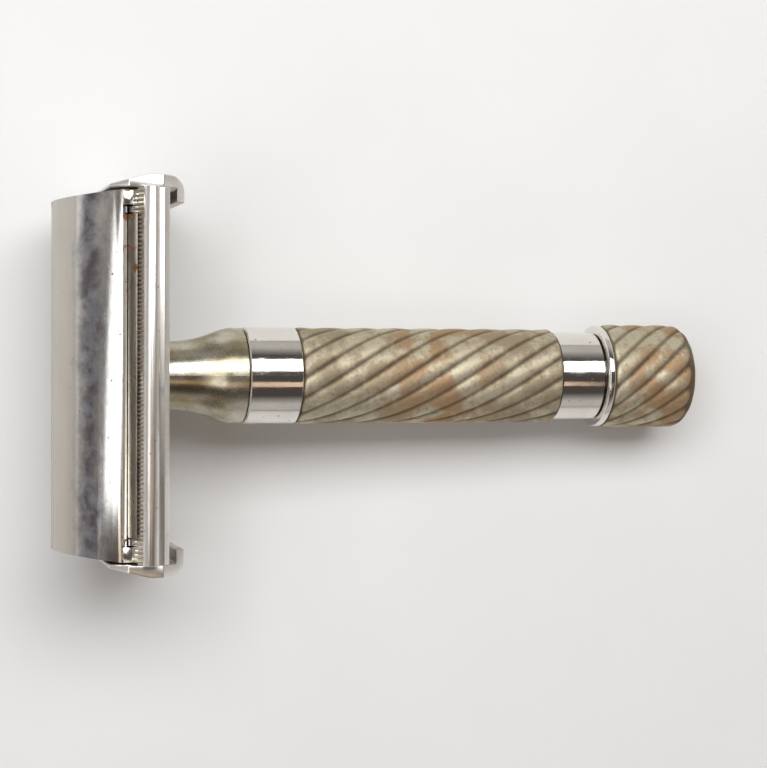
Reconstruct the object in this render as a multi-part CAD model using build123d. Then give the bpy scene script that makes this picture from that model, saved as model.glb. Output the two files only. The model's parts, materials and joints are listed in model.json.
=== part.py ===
"""Twist-to-open double-edge safety razor, lying on a table on one side of its head and on its knob.

Every piece is drawn upright first: +Z runs up the handle from the knob's end face to the crown of the
doors, +X runs across the blade and +Y along its cutting edges.  Heights within the head are measured
from the datum, which is the plane of the doors' lower edges.  At the end all pieces are laid down
together, so that +X runs from head to knob, +Y along the head and +Z up, with the origin under the
middle of the razor.
Turning the knob drives the stem up; the stem lifts the carriage and the two doors swing open on it.
"""

import math
import os

from build123d import *

# Lengths along the handle, from the knob's end face up
KNOB_LENGTH = 12.2
LOWER_COLLAR_LENGTH = 5.9
BARREL_LENGTH = 33.1
UPPER_COLLAR_LENGTH = 6.5
NECK_LENGTH = 10.55
HEAD_DEPTH = 5.35         # guard's underside to the datum
DOOR_HEIGHT = 7.0         # datum to the crown

# Handle diameters, given as radii
KNOB_RADIUS = 6.55
KNOB_END_ROUNDING = 2.0
KNOB_BORE = 5.3           # radius inside the cup
KNOB_FLOOR = 1.8
KNOB_BEAD = 0.9           # height of the bright bead at its mouth
LOWER_COLLAR_RADIUS = 5.55
BARREL_RADIUS = 5.9
UPPER_COLLAR_RADIUS = 5.9
NECK_WIDE_RADIUS = 5.8
NECK_NARROW_RADIUS = 4.1
CORE_RADIUS = 4.0
CORE_BORE = 3.1
STEM_RADIUS = 1.6
STEM_HOLE = 1.68

# Blade, to the standard double-edge size
BLADE_WIDTH = 22.0        # flat
BLADE_LENGTH = 42.8
CUTTING_LENGTH = 37.3
TAB_WIDTH = 13.0
BLADE_THICKNESS = 0.1
BLADE_CROWN = 0.95        # its middle, clamped, over the datum
BLADE_EDGE = -1.5         # its cutting edges
BENT_HALF_WIDTH = 10.6    # half its width across the bend
BLADE_GAP = 0.05          # clearance to what lies above and below it

# Head
HEAD_LENGTH = 46.4
END_PLATE = 1.5
CURL_WALL = 1.0
CURL_LENGTH = 3.1
BEAD_RADIUS = 0.93        # safety bar
BEAD_X = 12.0
BEAD_HEIGHT = -3.05
FLOOR = 0.8
DOOR_WALL = 1.0
DOOR_HALF_LENGTH = 21.45
SEAM_HALF_GAP = 0.06
SEAM_NOTCH = 1.2
END_LEAN = 0.85           # the crown's ends stand back from the doors' lower edges
PIVOT_X = 8.6
PIVOT_HEIGHT = -2.2
PIN_RADIUS = 0.6
RUNNING_GAP = 0.05

# Motion
STEM_TRAVEL = 3.0
KNOB_TURN = 540.0
DOOR_SWING = 78.0
KEY_Z = 43.0              # cross pin that stops the stem from turning

# Levels worked out from the lengths
COLLAR_Z = KNOB_LENGTH
BARREL_Z = COLLAR_Z + LOWER_COLLAR_LENGTH
UPPER_COLLAR_Z = BARREL_Z + BARREL_LENGTH
NECK_Z = UPPER_COLLAR_Z + UPPER_COLLAR_LENGTH
GUARD_Z = NECK_Z + NECK_LENGTH
DATUM_Z = GUARD_Z + HEAD_DEPTH
FLOOR_TOP = -HEAD_DEPTH + FLOOR
PLATE_INNER = HEAD_LENGTH / 2 - END_PLATE
DOOR_EDGE = 9.9           # doors' lower edges, inside the cutting edges
DOOR_RADIUS = (DOOR_EDGE**2 + DOOR_HEIGHT**2) / (2 * DOOR_HEIGHT)
DOOR_CENTRE = DOOR_HEIGHT - DOOR_RADIUS
BLADE_RISE = BLADE_CROWN - BLADE_EDGE
BLADE_RADIUS = (BENT_HALF_WIDTH**2 + BLADE_RISE**2) / (2 * BLADE_RISE)
BLADE_CENTRE = BLADE_CROWN - BLADE_RADIUS
BED_RADIUS = BLADE_RADIUS - BLADE_THICKNESS - BLADE_GAP

# Carriage levels and the ends of the head, where the hinges are
CARRIAGE_BOTTOM = FLOOR_TOP + 0.1
CARRIAGE_TOP = CARRIAGE_BOTTOM + 0.9
BED_HALF_LENGTH = 18.4
EAR_INNER, EAR_OUTER = 18.85, 19.55
LUG_INNER = 19.75
LUG_RADIUS = 1.4
END_WALL_INNER = 19.75
END_WALL_FOOT = 1.15      # clears the blade's tab

LOOSE = 0.02              # drawn gap between pieces that are pressed together


def ring(outer, inner, bottom, top):
    """A washer or tube round the handle's axis."""
    height = top - bottom
    middle = Pos(0, 0, (bottom + top) / 2)
    return middle * (Cylinder(outer, height) - Cylinder(inner, height + 1))


def block(x0, x1, y0, y1, z0, z1):
    """A box between two corners."""
    return Pos((x0 + x1) / 2, (y0 + y1) / 2, (z0 + z1) / 2) * Box(x1 - x0, y1 - y0, z1 - z0)


def bar_along_y(radius, x, z, y0, y1):
    """A round bar parallel to the cutting edges."""
    return Pos(x, (y0 + y1) / 2, z) * Rot(90, 0, 0) * Cylinder(radius, y1 - y0)


def prism(outline, y0, y1):
    """A closed outline in X and Z, drawn out between two places along Y."""
    return Pos(0, y1, 0) * extrude(Plane.XZ * make_face(outline), amount=y1 - y0)


def turned(points):
    """A closed outline of (radius, height), turned about the handle's axis."""
    return revolve(Plane.XZ * make_face(Polyline(*points, close=True)), Axis.Z)


def mirrored_across(shape):
    return shape + mirror(shape, about=Plane.YZ)


def both_ends(shape):
    return shape + mirror(shape, about=Plane.XZ)


def raised(shape):
    """Moves a piece drawn about the datum to its place on the handle."""
    return Pos(0, 0, DATUM_Z) * shape


def on_arc(x, radius, centre):
    """Height of a round profile over a place across the head."""
    return centre + math.sqrt(radius**2 - x**2)


def arc_between(x0, x1, radius, centre):
    """The part of that profile between two places."""
    middle = (x0 + x1) / 2
    return ThreePointArc(*[(x, on_arc(x, radius, centre)) for x in (x0, middle, x1)])


# ---------------------------------------------------------------- head, fixed


def guard_plate():
    """Base of the head: floor, skirts, two safety bars, and the ledges under the blade."""
    ledge_in, ledge_out = 8.4, 9.4
    ledge_height = on_arc(ledge_out, BED_RADIUS, BLADE_CENTRE)
    half = Polyline(
        (0, -HEAD_DEPTH),
        (10.7, -HEAD_DEPTH),
        (11.25, -4.7),
        (11.45, BEAD_HEIGHT - 0.6),
        (BEAD_X, BEAD_HEIGHT),
        (11.35, BEAD_HEIGHT + 0.65),
        (ledge_out, ledge_height),
        (ledge_in, ledge_height),
        (ledge_in, FLOOR_TOP),
        (0, FLOOR_TOP),
        close=True,
    )
    body = mirrored_across(prism(half, -PLATE_INNER, PLATE_INNER))
    body += mirrored_across(bar_along_y(BEAD_RADIUS, BEAD_X, BEAD_HEIGHT, -PLATE_INNER, PLATE_INNER))
    hinge_room = block(-10.3, 10.3, BED_HALF_LENGTH + 0.2, PLATE_INNER + 1, FLOOR_TOP, 2)
    body -= both_ends(hinge_room)
    body -= Pos(0, 0, -HEAD_DEPTH) * Cylinder(3.0 + LOOSE, 4)
    return raised(body)


def end_plate():
    """Plate that closes one end of the head: it flares towards its foot, which curls in under the guard."""
    shoulder, top, flare, foot, bend = 11.1, 1.5, -3.0, -7.4, 1.9
    outer = HEAD_LENGTH / 2
    section = Plane.YZ * make_face(Polyline(
        (PLATE_INNER + 0.35, top), (PLATE_INNER, top), (PLATE_INNER, foot + CURL_WALL),
        (outer - CURL_LENGTH, foot + CURL_WALL), (outer - CURL_LENGTH, foot), (outer, foot), (outer, flare),
        close=True))
    strip = Pos(-shoulder - 1, 0, 0) * extrude(section, amount=2 * shoulder + 2)
    outer_corner = strip.edges().filter_by(Axis.X).group_by(Axis.Z)[0].sort_by(Axis.Y)[-1]
    strip = fillet(outer_corner, bend)
    outline = Polyline((-shoulder, -0.6), (-9.4, top), (9.4, top), (shoulder, -0.6),
                       (shoulder, -4.6), (8.6, foot), (-8.6, foot), (-shoulder, -4.6), close=True)
    return raised(strip & prism(outline, outer - CURL_LENGTH - 1, outer))


def left_end_plate():
    return mirror(end_plate(), about=Plane.XZ)


def bent_strip(half_width, outer_radius, thickness, half_length):
    """A strip bent to the blade's curve, with its edges upright."""
    outline = arc_between(-half_width, half_width, outer_radius, BLADE_CENTRE)
    outline += arc_between(-half_width, half_width, outer_radius - thickness, BLADE_CENTRE)
    for x in (-half_width, half_width):
        high = on_arc(x, outer_radius, BLADE_CENTRE)
        low = on_arc(x, outer_radius - thickness, BLADE_CENTRE)
        outline += Line((x, low), (x, high))
    return prism(outline, -half_length, half_length)


def blade_bed():
    """Channel that carries the blade's middle; the carriage rises inside it."""
    roof_half, leg_in, leg_out, roof = 7.6, 3.6, 4.5, 0.9
    body = bent_strip(roof_half, BED_RADIUS, roof, BED_HALF_LENGTH)
    leg_top = on_arc(leg_out, BED_RADIUS, BLADE_CENTRE) - roof / 2
    leg = block(leg_in, leg_out, -BED_HALF_LENGTH, BED_HALF_LENGTH, FLOOR_TOP, leg_top)
    body += mirrored_across(leg)
    body -= Cylinder(3.1, 4)
    return raised(body)


def blade_studs():
    """Two studs that stand through the blade's slot and locate it."""
    foot = BLADE_CROWN - BLADE_THICKNESS - BLADE_GAP
    stud = Pos(0, 0, foot + 0.6) * Cylinder(1.1, 1.2)
    stud = fillet(stud.edges().sort_by(Axis.Z)[-1], 0.4)
    return raised(Compound([Pos(0, y, 0) * stud for y in (-14.0, 14.0)]))


def razor_blade():
    """Double-edge blade, bent over the bed, with its slot and narrower end tabs."""
    sheet = bent_strip(BENT_HALF_WIDTH, BLADE_RADIUS, BLADE_THICKNESS, BLADE_LENGTH / 2)
    plan = Rectangle(BLADE_WIDTH, CUTTING_LENGTH)
    plan += RectangleRounded(TAB_WIDTH, BLADE_LENGTH, 1.2)
    plan -= SlotOverall(34.0, 2.7, rotation=90)
    plan -= [Pos(0, y) * Circle(2.3) for y in (-14.0, 0, 14.0)]
    return raised(sheet & extrude(Pos(0, 0, -2) * plan, amount=4))


# ---------------------------------------------------------------- handle, fixed


def neck():
    """Flared socket that joins the head to the handle."""
    bore, socket_top, bush_foot = 2.6, NECK_Z + 4.3, NECK_Z + 5.3
    spigot = 3.0
    with BuildPart() as part:
        with BuildSketch(Plane.XZ):
            with BuildLine():
                Polyline((NECK_NARROW_RADIUS, GUARD_Z), (spigot, GUARD_Z), (spigot, GUARD_Z + FLOOR),
                         (bore, GUARD_Z + FLOOR), (bore, bush_foot), (STEM_HOLE + 0.1, bush_foot),
                         (STEM_HOLE + 0.1, socket_top), (CORE_RADIUS + LOOSE, socket_top),
                         (CORE_RADIUS + LOOSE, NECK_Z + LOOSE), (NECK_WIDE_RADIUS - 0.2, NECK_Z + LOOSE),
                         (NECK_WIDE_RADIUS, NECK_Z + 0.2), (NECK_WIDE_RADIUS, NECK_Z + 1.6))
                Spline((NECK_WIDE_RADIUS, NECK_Z + 1.6), (4.75, NECK_Z + 4.9),
                       (NECK_NARROW_RADIUS, GUARD_Z), tangents=[(-0.15, 1), (0, 1)])
            make_face()
        revolve(axis=Axis.Z)
    return part.part


def neck_bush():
    """Bush in the neck that guides the stem."""
    return ring(2.6 - LOOSE, STEM_HOLE, NECK_Z + 5.3 + LOOSE, GUARD_Z + FLOOR)


def collar(radius, bottom, top):
    """Plain polished band, with its corners eased."""
    band = ring(radius, CORE_RADIUS + LOOSE, bottom, top)
    rims = band.edges().filter_by(GeomType.CIRCLE).group_by(SortBy.RADIUS)[-1]
    return chamfer(rims, 0.15)


def upper_collar():
    return collar(UPPER_COLLAR_RADIUS, UPPER_COLLAR_Z + LOOSE, NECK_Z - LOOSE)


def lower_collar():
    """Band at the foot of the barrel, hollowed underneath for the friction washer."""
    foot = COLLAR_Z + 0.15
    return collar(LOWER_COLLAR_RADIUS, foot, BARREL_Z - LOOSE) - ring(5.0, CORE_RADIUS - 1, foot - 1, foot + 0.6)


def barrel():
    """Grip sleeve, drawn to the crests of its rope pattern."""
    return ring(BARREL_RADIUS, CORE_RADIUS + LOOSE, BARREL_Z, UPPER_COLLAR_Z)


def handle_core():
    """Inner tube that the neck, collars and barrel are pressed on; its foot turns inside the knob."""
    foot, top = 5.0, NECK_Z + 4.2
    tube = ring(CORE_RADIUS, CORE_BORE, foot, top)
    tube -= ring(CORE_RADIUS + 1, 3.6, 9.3, 10.1)
    slot_low, slot_high = KEY_Z - 0.8, KEY_Z + STEM_TRAVEL + 0.9
    tube -= block(-0.65, 0.65, -CORE_RADIUS - 1, CORE_RADIUS + 1, slot_low, slot_high)
    return tube


def snap_ring():
    """Open ring in the core's groove that keeps the knob on."""
    whole = ring(4.9, 3.6 + LOOSE, 9.4, 10.0)
    return whole - block(0, 6, -1.6, 1.6, 9, 11)


def friction_washer():
    """Washer that keeps the knob from turning by itself."""
    return ring(4.9, CORE_RADIUS + 0.1, COLLAR_Z + LOOSE, COLLAR_Z + 0.75 - LOOSE)


# ---------------------------------------------------------------- knob


def knob_shell():
    """Gripping cup of the knob."""
    height = KNOB_LENGTH - KNOB_BEAD
    cup = Pos(0, 0, height / 2) * Cylinder(KNOB_RADIUS, height)
    cup = fillet(cup.edges().sort_by(Axis.Z)[0], KNOB_END_ROUNDING)
    return cup - Pos(0, 0, KNOB_FLOOR + height / 2) * Cylinder(KNOB_BORE, height)


def knob_ring():
    """Bright ring in the knob's mouth; its sleeve runs on the core above the snap ring."""
    sleeve = ring(KNOB_BORE - LOOSE, CORE_RADIUS + 0.1, 10.3, KNOB_LENGTH - 0.5)
    bead = ring(KNOB_RADIUS - 0.1, CORE_RADIUS + 0.1, KNOB_LENGTH - KNOB_BEAD + LOOSE, KNOB_LENGTH)
    outside = bead.edges().filter_by(GeomType.CIRCLE).group_by(SortBy.RADIUS)[-1]
    return sleeve + fillet(outside, 0.3)


def drive_nut():
    """Nut pressed into the knob, on the stem's thread."""
    flange = ring(KNOB_BORE - LOOSE, STEM_HOLE, KNOB_FLOOR + LOOSE, 3.4)
    return flange + ring(CORE_BORE - 0.2, STEM_HOLE, 3.3, 9.2)


# ---------------------------------------------------------------- stem and carriage


def stem_rod():
    """Push rod from the drive nut up to the carriage."""
    shoulder = DATUM_Z + CARRIAGE_BOTTOM
    tip = DATUM_Z + CARRIAGE_TOP
    rod = turned([(0, 4.2), (STEM_RADIUS, 4.2), (STEM_RADIUS, shoulder), (1.2, shoulder), (1.2, tip), (0, tip)])
    return rod - bar_along_y(PIN_RADIUS, 0, KEY_Z, -5, 5)


def stem_key():
    """Cross pin that slides in the core's slot and stops the stem from turning."""
    return bar_along_y(PIN_RADIUS, 0, KEY_Z, -3.85, 3.85)


def carriage():
    """Cross bar on top of the stem, with two ears at each end for the doors' hinges."""
    ear = block(7.2, 10.0, EAR_INNER, EAR_OUTER, CARRIAGE_BOTTOM, PIVOT_HEIGHT)
    ear += bar_along_y(LUG_RADIUS, PIVOT_X, PIVOT_HEIGHT, EAR_INNER, EAR_OUTER)
    ear -= bar_along_y(PIN_RADIUS, PIVOT_X, PIVOT_HEIGHT, EAR_INNER - 1, EAR_OUTER + 1)
    body = both_ends(mirrored_across(ear))
    body += both_ends(block(-7.4, 7.4, EAR_INNER, EAR_OUTER, CARRIAGE_BOTTOM, CARRIAGE_TOP))
    body += block(-3.3, 3.3, -EAR_OUTER, EAR_OUTER, CARRIAGE_BOTTOM, CARRIAGE_TOP)
    return raised(body - Pos(0, 0, CARRIAGE_TOP) * Cylinder(1.2, 4))


def stem_rivet():
    """Head that holds the carriage down on the stem."""
    head = Pos(0, 0, CARRIAGE_TOP + 0.25) * Cylinder(2.4, 0.5)
    return raised(chamfer(head.edges().sort_by(Axis.Z)[-1], 0.2))


def hinge_pins():
    """Four pins, two for each door."""
    pins = [bar_along_y(PIN_RADIUS, x, PIVOT_HEIGHT, min(a, b), max(a, b))
            for x in (-PIVOT_X, PIVOT_X) for a, b in ((EAR_INNER, 21.4), (-EAR_INNER, -21.4))]
    return raised(Compound(pins))


# ---------------------------------------------------------------- doors


def right_door():
    """Half of the cap: a curved shell with closed ends, and a lug at each end for its hinge."""
    inner_radius = DOOR_RADIUS - DOOR_WALL
    seam, edge, rib_out, rib_in = SEAM_HALF_GAP, DOOR_EDGE, 8.9, 8.0
    crown = on_arc(seam, DOOR_RADIUS, DOOR_CENTRE)
    outer = arc_between(seam, edge, DOOR_RADIUS, DOOR_CENTRE)
    press_radius = BLADE_RADIUS + 2 * BLADE_GAP
    lip = [(edge, 0), (edge - 0.15, -0.15), (rib_out + 0.2, -0.15)]
    press = [(x, on_arc(x, press_radius, BLADE_CENTRE)) for x in (rib_out, rib_in)]
    shell_line = (
        outer
        + Polyline(*lip, *press, (rib_in, on_arc(rib_in, inner_radius, DOOR_CENTRE)))
        + arc_between(seam, rib_in, inner_radius, DOOR_CENTRE)
        + Line((seam, on_arc(seam, inner_radius, DOOR_CENTRE)), (seam, crown))
    )
    wall_line = outer + Polyline(*lip, press[0], (7.3, END_WALL_FOOT), (seam, END_WALL_FOOT), (seam, crown))
    lug_line = Polyline((7.2, 2.0), (7.2, PIVOT_HEIGHT), (PIVOT_X, PIVOT_HEIGHT), (9.6, -1.3), (9.75, -0.2),
                        (9.5, 0.9), close=True)
    body = prism(shell_line, -DOOR_HALF_LENGTH, DOOR_HALF_LENGTH)
    wall = prism(wall_line, END_WALL_INNER, DOOR_HALF_LENGTH)
    lug = prism(lug_line, LUG_INNER, DOOR_HALF_LENGTH)
    lug += bar_along_y(LUG_RADIUS, PIVOT_X, PIVOT_HEIGHT, LUG_INNER, DOOR_HALF_LENGTH)
    hole = bar_along_y(PIN_RADIUS + RUNNING_GAP, PIVOT_X, PIVOT_HEIGHT, LUG_INNER - 1, DOOR_HALF_LENGTH + 1)
    body += both_ends(wall + lug - hole)
    lean = math.degrees(math.atan2(END_LEAN, DOOR_HEIGHT))
    slicer = Pos(0, DOOR_HALF_LENGTH, 0) * Rot(lean, 0, 0) * block(-20, 20, 0, 10, 0, 20)
    body -= both_ends(slicer)
    notch = Pos(0, DOOR_HALF_LENGTH - END_LEAN, DOOR_HEIGHT) * Rot(0, 0, 45) * Box(SEAM_NOTCH, SEAM_NOTCH, 3)
    body -= both_ends(notch)
    return raised(body)


def left_door():
    return mirror(right_door(), about=Plane.YZ)


# ---------------------------------------------------------------- laying down and writing

PIECES = {
    "guard_plate": guard_plate,
    "right_end_plate": end_plate,
    "left_end_plate": left_end_plate,
    "blade_bed": blade_bed,
    "blade_studs": blade_studs,
    "razor_blade": razor_blade,
    "neck": neck,
    "neck_bush": neck_bush,
    "upper_collar": upper_collar,
    "barrel": barrel,
    "lower_collar": lower_collar,
    "handle_core": handle_core,
    "snap_ring": snap_ring,
    "friction_washer": friction_washer,
    "knob_shell": knob_shell,
    "knob_ring": knob_ring,
    "drive_nut": drive_nut,
    "stem_rod": stem_rod,
    "stem_key": stem_key,
    "carriage": carriage,
    "stem_rivet": stem_rivet,
    "hinge_pins": hinge_pins,
    "right_door": right_door,
    "left_door": left_door,
}


def rest_tilt():
    """Slope of the handle when the safety bar and the knob's rounded end both touch the table."""
    run = DATUM_Z + BEAD_HEIGHT - KNOB_END_ROUNDING
    rise = BEAD_X - (KNOB_RADIUS - KNOB_END_ROUNDING)
    return math.atan2(rise, run) + math.asin((BEAD_RADIUS - KNOB_END_ROUNDING) / math.hypot(run, rise))


def main():
    os.makedirs("parts", exist_ok=True)
    tilt = rest_tilt()
    turn = Rot(0, math.degrees(tilt) - 90, 0)
    laid = {name: turn * make() for name, make in PIECES.items()}
    box = Compound(list(laid.values())).bounding_box()
    shift = Pos(-(box.min.X + box.max.X) / 2, 0, -box.min.Z)
    for name, shape in laid.items():
        export_step(shift * shape, f"parts/{name}.step")

    axis = (math.cos(tilt), 0, -math.sin(tilt))
    print("handle tilt, degrees", round(math.degrees(tilt), 4))
    print("axis from head to knob", [round(a, 7) for a in axis])
    for label, point in {
        "knob end face": (0, 0, 0),
        "handle axis at the datum": (0, 0, DATUM_Z),
        "blade seat": (0, 0, DATUM_Z + BLADE_CROWN - BLADE_THICKNESS - BLADE_GAP),
        "neck, narrow part": (0, 0, GUARD_Z - 3),
        "right pivot": (PIVOT_X, 0, DATUM_Z + PIVOT_HEIGHT),
        "left pivot": (-PIVOT_X, 0, DATUM_Z + PIVOT_HEIGHT),
    }.items():
        place = (shift * turn * Pos(*point)).position
        print(label, [round(c / 1000, 6) for c in place])
    print("size", box.size)
    print("stem metres per radian of knob", STEM_TRAVEL / 1000 / math.radians(KNOB_TURN))
    print("door degrees per degree of knob", DOOR_SWING / KNOB_TURN)


main()
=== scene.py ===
# %% [markdown]
# # A twist-to-open safety razor
# The razor lies on a table, on one side of its head and on its knob.  The frame file holds every
# piece at its real size and place.  This script gives the metal its shape detail and its finish:
# a rope pattern on the grip, fine ribs under the cutting edges, worn nickel plate, and brown patina.

# %% load the frame
import json
import math
import bmesh
import bpy
from mathutils import Matrix, Vector


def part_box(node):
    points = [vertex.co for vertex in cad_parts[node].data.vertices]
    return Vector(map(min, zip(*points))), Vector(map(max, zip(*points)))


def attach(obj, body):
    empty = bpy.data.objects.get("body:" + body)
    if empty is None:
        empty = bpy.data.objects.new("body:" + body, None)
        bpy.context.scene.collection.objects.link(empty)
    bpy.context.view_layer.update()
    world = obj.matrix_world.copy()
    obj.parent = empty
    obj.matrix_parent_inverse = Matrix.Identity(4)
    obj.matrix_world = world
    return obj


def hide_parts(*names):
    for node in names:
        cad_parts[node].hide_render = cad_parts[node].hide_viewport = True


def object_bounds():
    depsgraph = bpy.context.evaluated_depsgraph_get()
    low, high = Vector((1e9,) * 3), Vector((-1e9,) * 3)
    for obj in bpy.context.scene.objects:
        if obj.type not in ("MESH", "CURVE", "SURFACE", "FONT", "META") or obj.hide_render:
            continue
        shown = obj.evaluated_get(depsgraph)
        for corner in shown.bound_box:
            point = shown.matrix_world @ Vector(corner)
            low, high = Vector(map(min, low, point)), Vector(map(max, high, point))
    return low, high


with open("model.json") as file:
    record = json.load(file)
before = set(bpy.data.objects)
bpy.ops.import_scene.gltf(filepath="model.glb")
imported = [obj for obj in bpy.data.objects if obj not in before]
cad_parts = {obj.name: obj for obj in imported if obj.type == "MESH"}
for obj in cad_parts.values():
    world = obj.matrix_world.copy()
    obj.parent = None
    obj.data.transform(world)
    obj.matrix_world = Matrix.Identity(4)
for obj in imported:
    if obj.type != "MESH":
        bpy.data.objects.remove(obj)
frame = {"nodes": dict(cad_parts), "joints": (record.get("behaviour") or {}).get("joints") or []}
cad_low, cad_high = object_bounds()
MM = 0.001
print("pieces in the frame:", len(frame["nodes"]))
print("size in mm:", [round(side / MM, 1) for side in cad_high - cad_low])

# %% [markdown]
# ## Where the handle is
# The handle slopes a little, so sizes are easier to give along the handle itself.  A *handle frame*
# has its origin at the middle of the knob's end, Z up the handle to the head, and X across the blade.
# The joints in the frame file say where it lies: the stem slides along Z, and the knob turns at the
# origin.  One matrix then takes any point of the handle frame to the table's frame.

# %% the handle frame
joints = {joint["name"]: joint for joint in frame["joints"]}
up_handle = Vector(joints["stem_slide"]["axis"]).normalized()
along_edge = Vector((0, 1, 0))
across_blade = along_edge.cross(up_handle).normalized()
knob_end = Vector(joints["knob_turn"]["pos_m"])
to_table = Matrix((across_blade, along_edge, up_handle)).transposed().to_4x4()
to_table.translation = knob_end
to_handle = to_table.inverted()
slope = math.atan2(-up_handle.x, up_handle.z)
print("handle leans", round(90 - math.degrees(slope), 3), "degrees from level")

# %% sizes shared by several pieces, in the handle frame
DATUM = 73.6 * MM             # plane of the doors' lower edges
KNOB_LENGTH = 11.3 * MM       # of the gripping cup
BARREL_FOOT = 18.1 * MM
BARREL_LENGTH = 33.1 * MM
BARREL_RADIUS = 5.9 * MM
KNOB_RADIUS = 6.55 * MM


def node_box(name):
    low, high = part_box(name)
    return [round(side / MM, 1) for side in high - low]


for name in ("barrel", "knob_shell", "right_door"):
    print(name, node_box(name), "mm")

# %% [markdown]
# ## Writing shader maths as expressions
# A finish such as worn plate is a sum of masks: blotches, scratches, grime in the grooves.  Node
# links are tedious to write one by one, so a small class wraps a socket, and Python's operators on
# it add the Math nodes.  `Finish.add` makes any other node: settings first, then its inputs.

# %% a socket that can be used in sums


class Value:
    """A number on a surface: the output of a shader node."""

    def __init__(self, finish, socket):
        self.finish = finish
        self.socket = socket

    def maths(self, operation, *others):
        settings = {"operation": operation}
        inputs = dict(enumerate((self, *others)))
        return self.finish.add("ShaderNodeMath", settings, inputs)[0]

    def swapped(self, operation, other):
        settings = {"operation": operation}
        return self.finish.add("ShaderNodeMath", settings, {0: other, 1: self})[0]

    def __add__(self, other):
        return self.maths("ADD", other)

    def __sub__(self, other):
        return self.maths("SUBTRACT", other)

    def __mul__(self, other):
        return self.maths("MULTIPLY", other)

    def __truediv__(self, other):
        return self.maths("DIVIDE", other)

    def __pow__(self, other):
        return self.maths("POWER", other)

    def __radd__(self, other):
        return self.maths("ADD", other)

    def __rmul__(self, other):
        return self.maths("MULTIPLY", other)

    def __rsub__(self, other):
        return self.swapped("SUBTRACT", other)

    def __rtruediv__(self, other):
        return self.swapped("DIVIDE", other)

    def between(self, low, high):
        """0 at or below low, 1 at or above high, and smooth in between."""
        settings = {"interpolation_type": "SMOOTHSTEP"}
        inputs = {"Value": self, "From Min": low, "From Max": high}
        return self.finish.add("ShaderNodeMapRange", settings, inputs)["Result"]

    def band(self, middle, half_width):
        """1 at the middle, falling to 0 at either side."""
        return 1 - (self - middle).maths("ABSOLUTE").between(0, half_width)


# %% a finish: one material and the nodes in it


class Outputs:
    """The outputs of a new node, by name or by number."""

    def __init__(self, finish, node):
        self.finish = finish
        self.node = node

    def __getitem__(self, key):
        return Value(self.finish, self.node.outputs[key])


class Finish:
    """A metal finish, with its pattern in the handle frame."""

    def __init__(self, name):
        self.material = bpy.data.materials.new(name)
        self.material.use_nodes = True
        self.tree = self.material.node_tree
        self.shader = self.tree.nodes["Principled BSDF"]
        self.place = self.handle_place()
        parts = self.add("ShaderNodeSeparateXYZ", {}, {"Vector": self.place})
        self.x, self.y, self.z = parts["X"], parts["Y"], parts["Z"]

    def add(self, kind, settings, inputs):
        node = self.tree.nodes.new(kind)
        for key, value in settings.items():
            setattr(node, key, value)
        for key, value in inputs.items():
            self.give(node.inputs[key], value)
        return Outputs(self, node)

    def give(self, socket, value):
        if isinstance(value, Value):
            self.tree.links.new(value.socket, socket)
        else:
            socket.default_value = value

    def handle_place(self):
        """Object coordinates turned into the handle frame, in millimetres."""
        position = self.add("ShaderNodeTexCoord", {}, {})["Object"]
        turn = (Matrix.Scale(1 / MM, 4) @ to_handle)
        location, rotation, scale = turn.decompose()
        inputs = {"Vector": position, "Location": location,
                  "Rotation": rotation.to_euler(), "Scale": scale}
        return self.add("ShaderNodeMapping", {"vector_type": "POINT"}, inputs)["Vector"]

    def stretched(self, sx, sy, sz):
        """The pattern's coordinates, pulled out along the axes with the smaller numbers."""
        settings = {"operation": "MULTIPLY"}
        return self.add("ShaderNodeVectorMath", settings, {0: self.place, 1: (sx, sy, sz)})["Vector"]

    def noise(self, scale, detail=4.0, rough=0.55, where=None):
        inputs = {"Vector": where or self.place, "Scale": scale, "Detail": detail, "Roughness": rough}
        return self.add("ShaderNodeTexNoise", {}, inputs)["Fac"]

    def specks(self, scale, size, where=None):
        """Round spots scattered over the surface: 1 inside a spot."""
        inputs = {"Vector": where or self.place, "Scale": scale}
        distance = self.add("ShaderNodeTexVoronoi", {"feature": "F1"}, inputs)["Distance"]
        return 1 - distance.between(size * 0.5, size)

    def mix(self, factor, first, second):
        """One colour turning into another."""
        settings = {"data_type": "RGBA"}
        inputs = {0: factor, 6: first, 7: second}
        return self.add("ShaderNodeMix", settings, inputs)[2]

    def bump(self, height, strength, distance, normal=None):
        inputs = {"Height": height, "Strength": strength, "Distance": distance}
        if normal:
            inputs["Normal"] = normal
        return self.add("ShaderNodeBump", {}, inputs)["Normal"]

    def shade(self, **values):
        for key, value in values.items():
            self.give(self.shader.inputs[key.replace("_", " ")], value)
        return self.material


def colour(red, green, blue):
    return (red, green, blue, 1.0)


print("finish helpers ready")

# %% [markdown]
# ## Nickel plate
# Old nickel is a warm grey silver.  It is mirror-bright where fingers and cloths rub it, duller in
# blotches, and it carries hairline scratches and small dark spots.  Each of these is one mask.
# The same recipe serves every plated piece: only the warmth, the gloss and the amount of tarnish change.

# %% the plating recipe
BRIGHT_NICKEL = colour(0.80, 0.775, 0.73)
DULL_NICKEL = colour(0.52, 0.485, 0.42)
SPOT_BROWN = colour(0.16, 0.10, 0.05)


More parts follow.
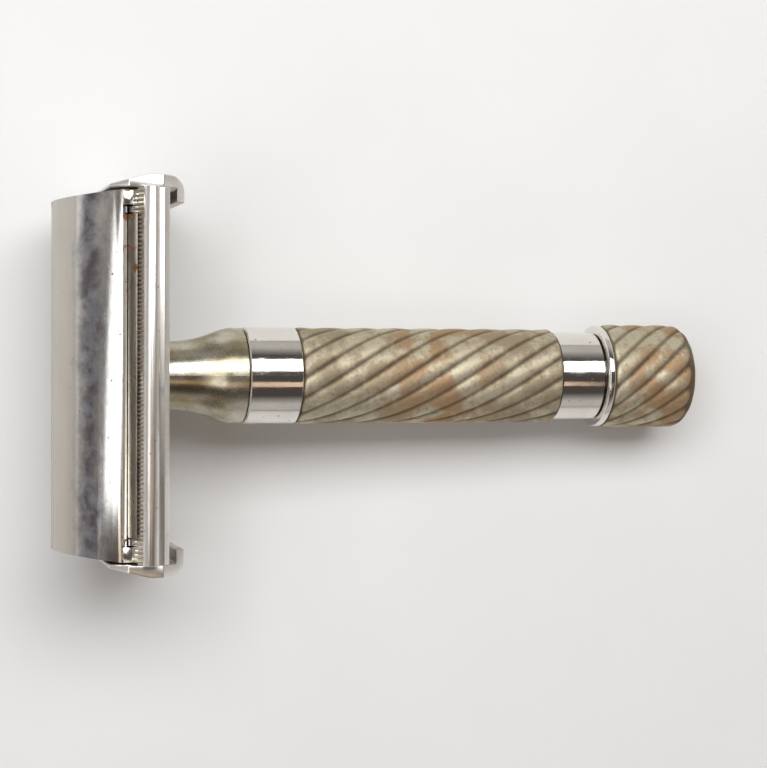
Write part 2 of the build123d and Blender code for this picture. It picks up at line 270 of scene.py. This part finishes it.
def nickel(name, tarnish=0.5, gloss=0.14, scratch_along=(4.0, 0.25, 4.0)):
    """Worn nickel plate, with the masks left open for more to be added."""
    finish = Finish(name)
    blotches = finish.noise(0.22, 5.0, 0.6).between(0.42, 0.66)
    haze = finish.noise(1.3, 6.0, 0.7).between(0.40, 0.75)
    scratches = finish.noise(3.0, 3.0, 0.6, finish.stretched(*scratch_along)).between(0.52, 0.70)
    pits = finish.specks(0.9, 0.16) * finish.noise(0.5).between(0.5, 0.6)
    dull = (blotches * 0.6 + haze * 0.4) * tarnish
    base = finish.mix(dull, BRIGHT_NICKEL, DULL_NICKEL)
    base = finish.mix(pits * 0.8, base, SPOT_BROWN)
    rough = gloss + dull * 0.22 + scratches * 0.05 + pits * 0.3
    relief = haze * 0.5 + scratches * 0.3 - pits
    finish.normal = finish.bump(relief, 0.10, 0.00002)
    finish.base, finish.rough = base, rough
    return finish


def plated(finish):
    """Sends the recipe's masks to the shader."""
    return finish.shade(Base_Color=finish.base, Roughness=finish.rough, Normal=finish.normal,
                        Metallic=1.0)


head_finish = nickel("head nickel", tarnish=0.50, gloss=0.28)
collar_finish = nickel("collar nickel", tarnish=0.25, gloss=0.07, scratch_along=(2.0, 2.0, 0.3))
neck_finish = nickel("neck nickel", tarnish=0.45, gloss=0.21, scratch_along=(2.0, 2.0, 0.3))
yellowing = neck_finish.noise(0.25, 3.0, 0.5).between(0.35, 0.65)
neck_finish.base = neck_finish.mix(yellowing * 0.5 + 0.4, neck_finish.base, colour(0.33, 0.28, 0.155))
NECK_METAL = plated(neck_finish)
HEAD_METAL = plated(head_finish)
COLLAR_METAL = plated(collar_finish)
print("plating:", HEAD_METAL.name, "and", COLLAR_METAL.name)

# %% [markdown]
# ## The doors
# The doors have been handled most.  A band of dark violet-grey runs the length of each one,
# halfway down its curve, with ragged edges: partly tarnish, partly a painted reflection of the dark
# room.  Above it the plate is a matt warm grey, partly wear and partly a painted reflection, and below
# it is bright.  Height over the cutting edges picks the band, and noise frays its borders.

# %% finish of the doors
TARNISH_AND_REFLECTION_VIOLET = colour(0.10, 0.078, 0.098)
TARNISH_AND_REFLECTION_BLUE = colour(0.24, 0.25, 0.29)
MATT_WEAR_AND_REFLECTION_GREY = colour(0.50, 0.465, 0.405)


def door_metal():
    finish = nickel("door nickel", tarnish=0.30, gloss=0.13)
    fray = finish.noise(0.30, 5.0, 0.65) - 0.5
    height = finish.z - DATUM / MM + fray * 2.6
    # The band is partly tarnish and partly a painted reflection of the dark room, placed by height on
    # the door's curve.
    band = height.band(3.5, 1.8) ** 0.7
    cloud = finish.noise(0.45, 6.0, 0.7).between(0.42, 0.60)
    band_tarnish_and_reflection = finish.mix(cloud, TARNISH_AND_REFLECTION_VIOLET, TARNISH_AND_REFLECTION_BLUE)
    # Above the band, the warm grey is partly matt wear and partly a painted reflection.
    above = (finish.z - DATUM / MM + fray * 0.8).between(4.7, 5.1)
    stains = finish.noise(0.9, 5.0, 0.7).between(0.50, 0.72)
    finish.base = finish.mix(above * 0.85, finish.base, MATT_WEAR_AND_REFLECTION_GREY)
    finish.base = finish.mix(stains * above * 0.5, finish.base, DULL_NICKEL)
    finish.rough = finish.rough + above * 0.20 + band * 0.08
    finish.base = finish.mix(band * 0.90, finish.base, band_tarnish_and_reflection)
    return plated(finish)


DOOR_METAL = door_metal()
print("door finish:", DOOR_METAL.name)

# %% [markdown]
# ## The grip
# The grooves between the strands of a rope pattern are darkened to a deep brown, while the crests
# stay bare.  The distance from the handle's axis tells crest from groove.  Warm brown wear lies in the
# middle of the barrel, where it is held, so one more mask follows the length of the handle.

# %% finish of the barrel and the knob
CREST_NICKEL = colour(0.60, 0.545, 0.41)
PATINA = colour(0.26, 0.185, 0.11)
GROOVE_DARK_BROWN = colour(0.085, 0.058, 0.038)
COPPER_WEAR = colour(0.50, 0.30, 0.15)


def grip_metal(name, crest, depth, wear_middle, wear_half):
    finish = nickel(name, tarnish=0.6, gloss=0.56, scratch_along=(1.5, 1.5, 1.5))
    radius = (finish.x ** 2 + finish.y ** 2) ** 0.5
    raised = radius.between(crest - depth, crest - 0.06)
    end_face = 1 - finish.z.between(0.05, 0.60)
    raised = raised.maths("MAXIMUM", end_face)
    patch = finish.noise(0.30, 4.0, 0.6)
    stain = patch.between(0.36, 0.60)
    wear = finish.z.band(wear_middle, wear_half) * patch.between(0.40, 0.58)
    base = finish.mix(stain * 0.50, CREST_NICKEL, PATINA)
    base = finish.mix(wear * 0.60, base, COPPER_WEAR)
    # The grooves are darkened to a deep brown, and the crests are left bare.
    base = finish.mix((1 - raised) * 0.62, base, GROOVE_DARK_BROWN)
    grain = finish.noise(2.4, 5.0, 0.75)
    finish.base = finish.mix(grain.between(0.48, 0.75) * 0.45, base, PATINA)
    finish.rough = finish.rough + (1 - raised) * 0.30 + stain * 0.1
    finish.normal = finish.bump(grain, 0.6, 0.00010, finish.normal)
    return plated(finish)


ROPE_DEPTH = 0.28
BARREL_METAL = grip_metal("barrel patina", BARREL_RADIUS / MM, ROPE_DEPTH, 34.0, 12.0)
KNOB_METAL = grip_metal("knob patina", KNOB_RADIUS / MM, ROPE_DEPTH, 5.0, 9.0)
print("grip finishes:", BARREL_METAL.name, "and", KNOB_METAL.name)

# %% [markdown]
# ## Blade, brass and steel
# The blade is ground steel: fine lines run along its length, and rust has spotted it near the ends.
# The drive inside the handle is plain brass and steel, seen only when the doors stand open.

# %% finish of the blade
BLADE_STEEL = colour(0.30, 0.265, 0.215)
RUST = colour(0.23, 0.09, 0.03)


def blade_metal():
    finish = nickel("blade steel", tarnish=0.4, gloss=0.28, scratch_along=(9.0, 0.2, 9.0))
    lines = finish.noise(5.0, 2.0, 0.5, finish.stretched(8.0, 0.1, 8.0))
    rust = finish.noise(0.42, 6.0, 0.7).between(0.55, 0.66)
    spots = finish.specks(0.30, 0.22)
    stain = rust.maths("MAXIMUM", spots)
    finish.base = finish.mix(0.8, finish.base, finish.mix(lines, BLADE_STEEL, DULL_NICKEL))
    finish.base = finish.mix(stain * 0.85, finish.base, RUST)
    finish.rough = finish.rough + stain * 0.4
    return plated(finish)


BLADE_METAL = blade_metal()
print("blade finish:", BLADE_METAL.name)

# %% finishes of the hidden brass and steel


def plain_metal(name, tone, gloss):
    """Turned metal with faint tool rings and a little oxide."""
    finish = nickel(name, tarnish=0.3, gloss=gloss, scratch_along=(1.0, 1.0, 9.0))
    oxide = finish.noise(0.8, 5.0, 0.6).between(0.5, 0.7)
    dark = tuple(channel * 0.45 for channel in tone[:3]) + (1.0,)
    finish.base = finish.mix(oxide * 0.5, tone, dark)
    return plated(finish)


BRASS = plain_metal("turned brass", colour(0.72, 0.53, 0.24), 0.24)
STEEL = plain_metal("turned steel", colour(0.50, 0.50, 0.51), 0.22)
print("inner metals:", BRASS.name, "and", STEEL.name)

# %% [markdown]
# ## Geometry Nodes, written in Python
# A tree needs named inputs, nodes and links.  The same socket idea as above keeps it readable:
# `Shape` wraps a tree, and numbers in it can be added and multiplied like any others.

# %% a socket in a geometry tree


class Field(Value):
    """A number that varies over the points of a shape."""


class FieldOutputs(Outputs):
    def __getitem__(self, key):
        return Field(self.finish, self.node.outputs[key])


class Shape:
    """A Geometry Nodes tree with named sizes, and one material at its end."""

    def __init__(self, name, sizes):
        self.tree = bpy.data.node_groups.new(name, "GeometryNodeTree")
        self.tree.interface.new_socket("Geometry", in_out="OUTPUT", socket_type="NodeSocketGeometry")
        self.identifiers = {}
        for label, start in sizes.items():
            kind = "NodeSocketInt" if isinstance(start, int) else "NodeSocketFloat"
            socket = self.tree.interface.new_socket(label, in_out="INPUT", socket_type=kind)
            socket.default_value = start
            self.identifiers[label] = socket.identifier
        node = self.tree.nodes.new("NodeGroupInput")
        self.size = {label: Field(self, node.outputs[label]) for label in sizes}
        self.end = self.tree.nodes.new("NodeGroupOutput")

    def add(self, kind, settings, inputs):
        node = self.tree.nodes.new(kind)
        for key, value in settings.items():
            setattr(node, key, value)
        for key, value in inputs.items():
            if isinstance(value, Value):
                self.tree.links.new(value.socket, node.inputs[key])
            else:
                node.inputs[key].default_value = value
        return FieldOutputs(self, node)

    def vector(self, x, y, z):
        return self.add("ShaderNodeCombineXYZ", {}, {"X": x, "Y": y, "Z": z})["Vector"]

    def finish_with(self, geometry, material):
        realized = self.add("GeometryNodeRealizeInstances", {}, {"Geometry": geometry})["Geometry"]
        inputs = {"Geometry": realized, "Material": material}
        painted = self.add("GeometryNodeSetMaterial", {}, inputs)["Geometry"]
        self.tree.links.new(painted.socket, self.end.inputs["Geometry"])


# %% turning a tree into a plain piece


def make_piece(name, shape, sizes, smooth=True):
    """Runs the tree once with these sizes and keeps the result as a mesh on the table."""
    carrier = bpy.data.objects.new(name + "_tree", bpy.data.meshes.new(name + "_empty"))
    bpy.context.scene.collection.objects.link(carrier)
    modifier = carrier.modifiers.new("shape", "NODES")
    modifier.node_group = shape.tree
    for label, value in sizes.items():
        modifier[shape.identifiers[label]] = value
    settled = carrier.evaluated_get(bpy.context.evaluated_depsgraph_get())
    mesh = bpy.data.meshes.new_from_object(settled)
    bpy.data.objects.remove(carrier)
    mesh.transform(to_table)
    if smooth:
        mesh.shade_smooth()
    else:
        mesh.shade_flat()
    piece = bpy.data.objects.new(name, mesh)
    bpy.context.scene.collection.objects.link(piece)
    print(name, len(mesh.polygons), "faces")
    return piece


# %% [markdown]
# ## The rope pattern
# Each strand is a rounded ridge that winds round the handle.  A lathe could not cut it; it is rolled
# or milled.  In a model it follows one rule: turn a profile round the axis, and sink its radius by
# the depth of a wave of angle and height.  A grid of points is wrapped into that shape, so both the
# barrel and the knob come from one tree with other sizes.

# %% the rope tree
ROPE_SIZES = {
    "Length": BARREL_LENGTH, "Crest Radius": BARREL_RADIUS, "Groove Depth": ROPE_DEPTH * MM,
    "Strands": 14, "Lead": 57.0 * MM, "End Rounding": 0.3 * MM, "Foot Hole": 4.02 * MM,
    "Mouth Hole": 4.02 * MM, "Hole Floor": 0.0, "Foot Height": BARREL_FOOT,
    "Around": 281, "Along": 150,
}


def rope_tree(name, material):
    """A closed, turned body with winding strands on its outside."""
    rope = Shape(name, ROPE_SIZES)
    size = rope.size
    grid_inputs = {
        "Size X": 1.0, "Size Y": 1.0,
        "Vertices X": size["Around"], "Vertices Y": size["Along"],
    }
    grid = rope.add("GeometryNodeMeshGrid", {}, grid_inputs)["Mesh"]
    corner = rope.add("GeometryNodeInputPosition", {}, {})["Position"]
    at = rope.add("ShaderNodeSeparateXYZ", {}, {"Vector": corner})
    angle = (at["X"] + 0.5) * math.tau
    step = (at["Y"] + 0.5) * 1.10 - 0.03
    # step below 0: foot hole; 0 to 1: outside; above 1: mouth hole, its floor, and the foot hole again
    outside = step.maths("MAXIMUM", 0.0).maths("MINIMUM", 1.0)
    quarter = size["End Rounding"] * (math.pi / 2)
    run = outside * (quarter + size["Length"] - size["End Rounding"])
    bend = (run / size["End Rounding"]).maths("MINIMUM", math.pi / 2)
    straight = (run - quarter).maths("MAXIMUM", 0.0)
    height = size["End Rounding"] * (1 - bend.maths("COSINE")) + straight
    profile = size["Crest Radius"] - size["End Rounding"] * (1 - bend.maths("SINE"))
    wave = (angle + height * math.tau / size["Lead"]) * size["Strands"] / 2
    ridge = wave.maths("SINE").maths("ABSOLUTE") ** 0.75
    mouth = (size["Length"] - height) / (0.5 * MM)
    at_mouth = 1 - mouth.maths("MINIMUM", 1.0)
    at_foot = bend.maths("SINE") ** 2
    depth = size["Groove Depth"] * at_foot * (1 - ridge) + at_mouth ** 2 * 0.25 * MM
    radius = profile - depth
    before = step.maths("LESS_THAN", -0.001)
    after = step.maths("GREATER_THAN", 1.001)
    deep = step.maths("GREATER_THAN", 1.025)
    closing = step.maths("GREATER_THAN", 1.045)
    radius = radius * (1 - before) * (1 - after) + size["Foot Hole"] * before
    radius = radius + size["Mouth Hole"] * after * (1 - closing) + size["Foot Hole"] * closing
    height = height * (1 - deep) + size["Hole Floor"] * deep
    place = rope.vector(radius * angle.maths("COSINE"), radius * angle.maths("SINE"),
                        height + size["Foot Height"])
    wrapped = rope.add("GeometryNodeSetPosition", {}, {"Geometry": grid, "Position": place})["Geometry"]
    merged = rope.add("GeometryNodeMergeByDistance", {}, {"Geometry": wrapped, "Distance": 0.002 * MM})
    rope.finish_with(merged["Geometry"], material)
    return rope


barrel_tree = rope_tree("rope barrel tree", BARREL_METAL)
knob_tree = rope_tree("rope knob tree", KNOB_METAL)
print("rope inputs:", ", ".join(barrel_tree.identifiers))

# %% facing a mesh outwards
def face_outwards(piece):
    """Turns all faces of a closed piece outwards."""
    work = bmesh.new()
    work.from_mesh(piece.data)
    bmesh.ops.remove_doubles(work, verts=work.verts, dist=0.001 * MM)
    bmesh.ops.dissolve_degenerate(work, edges=work.edges, dist=0.0001 * MM)
    bmesh.ops.recalc_face_normals(work, faces=work.faces)
    open_edges = sum(1 for edge in work.edges if not edge.is_manifold)
    work.to_mesh(piece.data)
    work.free()
    print(piece.name, "open edges:", open_edges)


# %% barrel and knob
barrel = make_piece("rope_barrel", barrel_tree, ROPE_SIZES)
face_outwards(barrel)
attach(barrel, "body")
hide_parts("barrel")

knob_sizes = dict(ROPE_SIZES)
knob_sizes.update({
    "Length": KNOB_LENGTH, "Crest Radius": KNOB_RADIUS, "Lead": 45.0 * MM, "End Rounding": 2.0 * MM,
    "Foot Hole": 0.0, "Mouth Hole": 5.3 * MM, "Hole Floor": 1.8 * MM, "Foot Height": 0.0, "Along": 90,
})
knob = make_piece("rope_knob", knob_tree, knob_sizes)
face_outwards(knob)
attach(knob, "knob")
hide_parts("knob_shell")

# %% [markdown]
# ## Ribs under the cutting edges
# Between the blade and the safety bar the guard is finely ribbed, so that soap can drain.  One small
# rib is a stretched hexagonal bar; a line of points carries a copy to each place.

# %% the rib tree
RIB_SIZES = {
    "Row Length": 42.6 * MM, "Pitch": 0.5 * MM, "Rib Length": 1.9 * MM, "Rib Radius": 0.18 * MM,
    "Side": 1.0,
}
RIB_OUT = 10.45 * MM          # middle of a rib, from the handle's axis
RIB_DROP = 1.88 * MM          # and below the doors' lower edges
RIB_SLOPE = math.radians(56.3)


def rib_tree(material):
    ribs = Shape("guard rib tree", RIB_SIZES)
    size = ribs.size
    count = (size["Row Length"] / size["Pitch"]).maths("FLOOR") + 1
    start = ribs.vector(0.0, size["Row Length"] / -2, 0.0)
    pitch = ribs.vector(0.0, size["Pitch"], 0.0)
    line_inputs = {"Count": count, "Start Location": start, "Offset": pitch}
    line = ribs.add("GeometryNodeMeshLine", {"mode": "OFFSET"}, line_inputs)["Mesh"]
    bar_inputs = {"Vertices": 6, "Radius": size["Rib Radius"], "Depth": size["Rib Length"]}
    bar = ribs.add("GeometryNodeMeshCylinder", {}, bar_inputs)["Mesh"]
    tilt = ribs.vector(0.0, size["Side"] * -RIB_SLOPE, 0.0)
    place = ribs.vector(size["Side"] * RIB_OUT, 0.0, DATUM - RIB_DROP)
    move_inputs = {"Geometry": bar, "Translation": place, "Rotation": tilt}
    moved = ribs.add("GeometryNodeTransform", {}, move_inputs)["Geometry"]
    copies = ribs.add("GeometryNodeInstanceOnPoints", {}, {"Points": line, "Instance": moved})
    ribs.finish_with(copies["Instances"], material)
    return ribs


rib_metal = nickel("rib nickel", tarnish=0.9, gloss=0.30)
# Brown on the ribs: partly soap residue, partly painted shade under the blade's edge.
soap_and_shade = rib_metal.noise(0.35, 5.0, 0.6).between(0.35, 0.60)
rib_metal.base = rib_metal.mix(soap_and_shade * 0.5 + 0.4, rib_metal.base, colour(0.36, 0.27, 0.18))
rib_metal.rough = rib_metal.rough + soap_and_shade * 0.3
ribs = rib_tree(plated(rib_metal))
for side, label in ((1.0, "right"), (-1.0, "left")):
    row = make_piece(f"{label}_guard_ribs", ribs, {**RIB_SIZES, "Side": side}, smooth=False)
    face_outwards(row)
    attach(row, "body")

# %% [markdown]
# ## Soft edges on the head
# Plated sheet metal has no sharp corners: its edges are rounded by stamping, polishing and wear, and
# each one catches a thin line of light.  The frame's pieces have sharp edges, so the outer ones are
# copied, their loose triangles merged, and a narrow bevel is added.

# %% rounding the edges of stamped pieces


def soften(node, material, body, width):
    """A copy of one frame piece with rounded edges, which stands in its place."""
    mesh = frame["nodes"][node].data.copy()
    mesh.name = node + "_soft"
    work = bmesh.new()
    work.from_mesh(mesh)
    bmesh.ops.remove_doubles(work, verts=work.verts, dist=0.0005 * MM)
    bmesh.ops.dissolve_limit(work, angle_limit=math.radians(0.6), verts=work.verts, edges=work.edges)
    work.to_mesh(mesh)
    work.free()
    mesh.materials.clear()
    mesh.materials.append(material)
    mesh.shade_smooth()
    piece = bpy.data.objects.new(node + "_soft", mesh)
    bpy.context.scene.collection.objects.link(piece)
    bevel = piece.modifiers.new("edges", "BEVEL")
    bevel.width = width
    bevel.segments = 2
    bevel.limit_method = "ANGLE"
    bevel.angle_limit = math.radians(28)
    bevel.harden_normals = True
    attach(piece, body)
    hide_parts(node)
    return piece


STAMPED = {
    "guard_plate": (HEAD_METAL, "head", "body", 0.10 * MM),
    "right_end_plate": (HEAD_METAL, "head", "body", 0.14 * MM),
    "left_end_plate": (HEAD_METAL, "head", "body", 0.14 * MM),
    "right_door": (DOOR_METAL, "doors", "right_door", 0.10 * MM),
    "left_door": (DOOR_METAL, "doors", "left_door", 0.10 * MM),
}
for node, (metal, slot, body, width) in STAMPED.items():
    soften(node, metal, body, width)
print("softened:", ", ".join(STAMPED))

# %% [markdown]
# ## Finishes on the pieces that keep their shape
# Every other piece is right as it is and only needs its metal.

# %% giving the frame's own pieces their metal
METALS = {
    NECK_METAL: ["neck"],
    COLLAR_METAL: ["upper_collar", "lower_collar", "knob_ring"],
    HEAD_METAL: ["blade_bed", "blade_studs"],
    BLADE_METAL: ["razor_blade"],
    BRASS: ["neck_bush", "handle_core", "drive_nut"],
    STEEL: ["carriage", "stem_rivet", "hinge_pins", "stem_rod", "stem_key", "snap_ring",
            "friction_washer"],
}
for metal, names in METALS.items():
    for name in names:
        mesh = frame["nodes"][name].data
        mesh.materials.clear()
        mesh.materials.append(metal)
print("metals given to", sum(len(names) for names in METALS.values()), "pieces")

# %% [markdown]
# ## Table, light and camera
# A large pale floor, one soft lamp overhead and a weak one from the side.  Polished metal shows what
# surrounds it: the overhead lamp gives each cylinder its white stripe, the dim room gives the dark
# bands beside it, and the pale floor gives the light bands at its edges.

# %% the floor
floor_finish = Finish("pale table")
mottle = floor_finish.noise(0.05, 3.0, 0.5)
floor_colour = floor_finish.mix(mottle, colour(0.745, 0.75, 0.75), colour(0.80, 0.80, 0.795))
floor_metal = floor_finish.shade(Base_Color=floor_colour, Roughness=0.6, Metallic=0.0)
floor_mesh = bpy.data.meshes.new("table")
FLOOR_HALF = 1.5
signs = [(-1, -1), (1, -1), (1, 1), (-1, 1)]
floor_mesh.from_pydata([(x * FLOOR_HALF, y * FLOOR_HALF, 0) for x, y in signs], [], [(0, 1, 2, 3)])
floor_mesh.materials.append(floor_metal)
table = bpy.data.objects.new("table", floor_mesh)
bpy.context.scene.collection.objects.link(table)

# %% the lights


def lamp(name, place, aim, size, power, tint=(1.0, 1.0, 1.0)):
    """A rectangular soft lamp that faces a point."""
    light = bpy.data.lights.new(name, "AREA")
    light.shape = "RECTANGLE"
    light.size, light.size_y = size
    light.energy = power
    light.color = tint
    holder = bpy.data.objects.new(name, light)
    holder.location = place
    holder.rotation_euler = (Vector(aim) - Vector(place)).to_track_quat("-Z", "Y").to_euler()
    bpy.context.scene.collection.objects.link(holder)
    return holder


middle = (cad_low + cad_high) / 2


def softbox(name, toward, lean, distance, size, brightness, tint=(1.0, 1.0, 1.0)):
    """A lamp at an angle from straight up; its power follows from its brightness and its area."""
    flat = Vector(toward).normalized() * math.sin(math.radians(lean))
    place = middle + (flat + Vector((0, 0, math.cos(math.radians(lean))))) * distance
    power = math.pi * size[0] * size[1] * brightness
    return lamp(name, place, middle, size, power, tint)


softbox("overhead", (0, 1, 0), 26, 0.45, (0.55, 0.22), 5.6)
softbox("warm card", (0, -1, 0), 21, 0.45, (0.50, 0.09), 0.8, (1.0, 0.74, 0.54))
softbox("low left", (-1, 0, 0), 38, 0.50, (0.50, 0.26), 1.6, (0.95, 0.97, 1.0))

# %% the dim room
world = bpy.data.worlds.new("room")
world.use_nodes = True
room = world.node_tree
background = room.nodes["Background"]
direction = room.nodes.new("ShaderNodeTexCoord")
split = room.nodes.new("ShaderNodeSeparateXYZ")
room.links.new(direction.outputs["Generated"], split.inputs[0])
ramp = room.nodes.new("ShaderNodeValToRGB")
ramp.color_ramp.elements[0].position = 0.30
ramp.color_ramp.elements[0].color = colour(0.52, 0.50, 0.48)
ramp.color_ramp.elements[1].position = 0.62
ramp.color_ramp.elements[1].color = colour(0.075, 0.065, 0.06)
room.links.new(split.outputs["Z"], ramp.inputs[0])
room.links.new(ramp.outputs[0], background.inputs["Color"])
bpy.context.scene.world = world
bpy.context.scene.view_settings.view_transform = "Standard"

# %% the camera
EYE = Vector((237.2, 2.0, 32.1)) * MM + Vector((0, 0, DATUM))
eye = to_table @ EYE
target = Vector((0.0, -1.0, 12.0)) * MM
back = (eye - target).normalized()
right = (-up_handle - back * -up_handle.dot(back)).normalized()
up = back.cross(right).normalized()
camera_data = bpy.data.cameras.new("camera")
camera_data.lens = 93.0
camera_data.sensor_width = 36.0
camera = bpy.data.objects.new("camera", camera_data)
pose = Matrix((right, up, back)).transposed().to_4x4()
pose.translation = eye
camera.matrix_world = pose
bpy.context.scene.collection.objects.link(camera)
bpy.context.scene.camera = camera
print("camera is", round((eye - target).length / MM), "mm from the razor")
